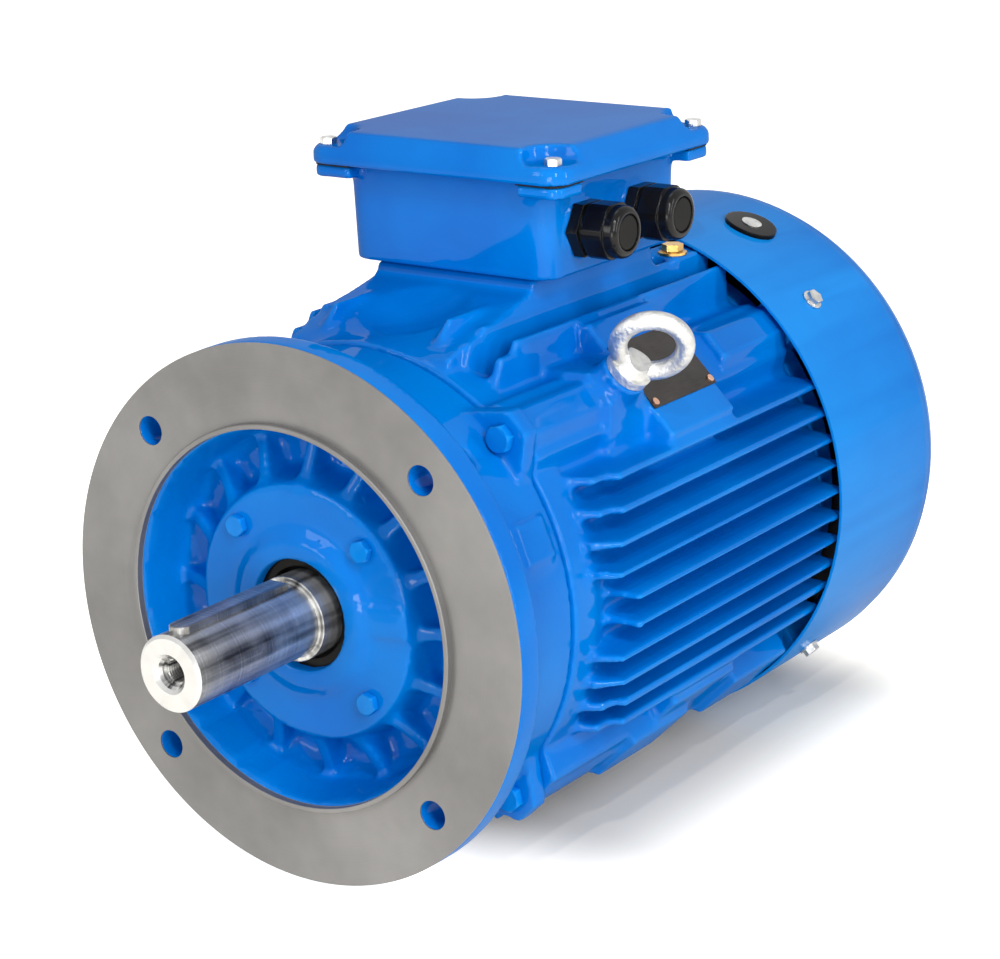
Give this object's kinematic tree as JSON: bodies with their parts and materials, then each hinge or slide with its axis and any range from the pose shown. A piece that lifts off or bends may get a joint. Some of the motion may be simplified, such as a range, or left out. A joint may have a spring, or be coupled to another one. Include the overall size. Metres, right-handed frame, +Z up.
{
  "type": "three-phase induction motor",
  "caption": "Flange-mounted, fan-cooled induction motor with a finned cast frame, keyed shaft end, top terminal box, lifting eye and rear cowl.",
  "frame": {"origin": "where the shaft axis meets the flange's mating face", "axes": "+X out of the drive end along the shaft, +Z up towards the terminal box, +Y towards the cable glands"},
  "size_m": [0.648, 0.3649, 0.4553],
  "materials": {
    "blue_enamel": "gloss",
    "shaft_steel": "turned",
    "zinc_steel": "zinc plated",
    "bearing_steel": "ground",
    "lamination": "varnished",
    "copper": "enamelled wire",
    "cast_aluminium": "as cast",
    "grey_iron": "as cast",
    "brass": "plain",
    "black_nylon": "gloss",
    "black_rubber": "matt",
    "moulded_black": "matt",
    "plate_metal": "dark brushed",
    "gasket_rubber": "matt",
    "lead_sheath": "satin"
  },
  "bodies": {
    "motor_frame": {"frame_housing": "blue_enamel", "flange_endshield": "blue_enamel", "rear_endshield": "blue_enamel", "front_bearing_cap": "grey_iron", "rear_bearing_cap": "grey_iron", "stator_core": "lamination", "stator_windings": "copper", "winding_leads": "lead_sheath", "endshield_bolts": "blue_enamel", "rear_endshield_bolts": "zinc_steel", "front_cap_bolts": "blue_enamel", "rear_cap_bolts": "zinc_steel", "front_bearing_outer": "bearing_steel", "rear_bearing_outer": "bearing_steel", "wave_spring_washer": "shaft_steel", "front_shaft_seal": "black_rubber", "rear_shaft_seal": "black_rubber", "fan_cowl": "blue_enamel", "cowl_screws": "zinc_steel", "cowl_plug": "black_rubber", "cowl_plug_button": "zinc_steel", "terminal_box_base": "blue_enamel", "terminal_box_lid": "blue_enamel", "box_gasket": "gasket_rubber", "lid_gasket": "gasket_rubber", "lid_screws": "zinc_steel", "box_screws": "zinc_steel", "terminal_block": "moulded_black", "terminal_studs": "brass", "terminal_nuts": "brass", "terminal_links": "brass", "terminal_block_screws": "zinc_steel", "box_earth_screw": "brass", "gland_bodies": "black_nylon", "gland_nuts": "black_nylon", "gland_seals": "black_rubber", "gland_blanks": "moulded_black", "gland_locknuts": "black_nylon", "eyebolt": "zinc_steel", "nameplate": "plate_metal", "nameplate_rivets": "brass", "frame_earth_screw": "brass"},
    "rotor": {"rotor_core": "lamination", "rotor_cage": "cast_aluminium", "shaft": "shaft_steel", "shaft_key": "shaft_steel", "front_bearing_inner": "bearing_steel", "rear_bearing_inner": "bearing_steel", "fan": "moulded_black", "fan_key": "shaft_steel", "fan_circlip": "shaft_steel"},
    "front_ball_set": {"front_bearing_balls": "bearing_steel", "front_bearing_cage": "brass"},
    "rear_ball_set": {"rear_bearing_balls": "bearing_steel", "rear_bearing_cage": "brass"}
  },
  "joints": [
    {"name": "rotor_spin", "type": "hinge", "parent": "motor_frame", "child": "rotor", "pos_m": [0, 0, 0], "axis": [1, 0, 0], "continuous": true},
    {"name": "front_cage_spin", "type": "hinge", "parent": "motor_frame", "child": "front_ball_set", "pos_m": [-0.0505, 0, 0], "axis": [1, 0, 0], "continuous": true},
    {"name": "rear_cage_spin", "type": "hinge", "parent": "motor_frame", "child": "rear_ball_set", "pos_m": [-0.4115, 0, 0], "axis": [1, 0, 0], "continuous": true}
  ],
  "couplings": [
    {"joint": "front_cage_spin", "follows": "rotor_spin", "ratio": 0.38207},
    {"joint": "rear_cage_spin", "follows": "rotor_spin", "ratio": 0.38207}
  ]
}
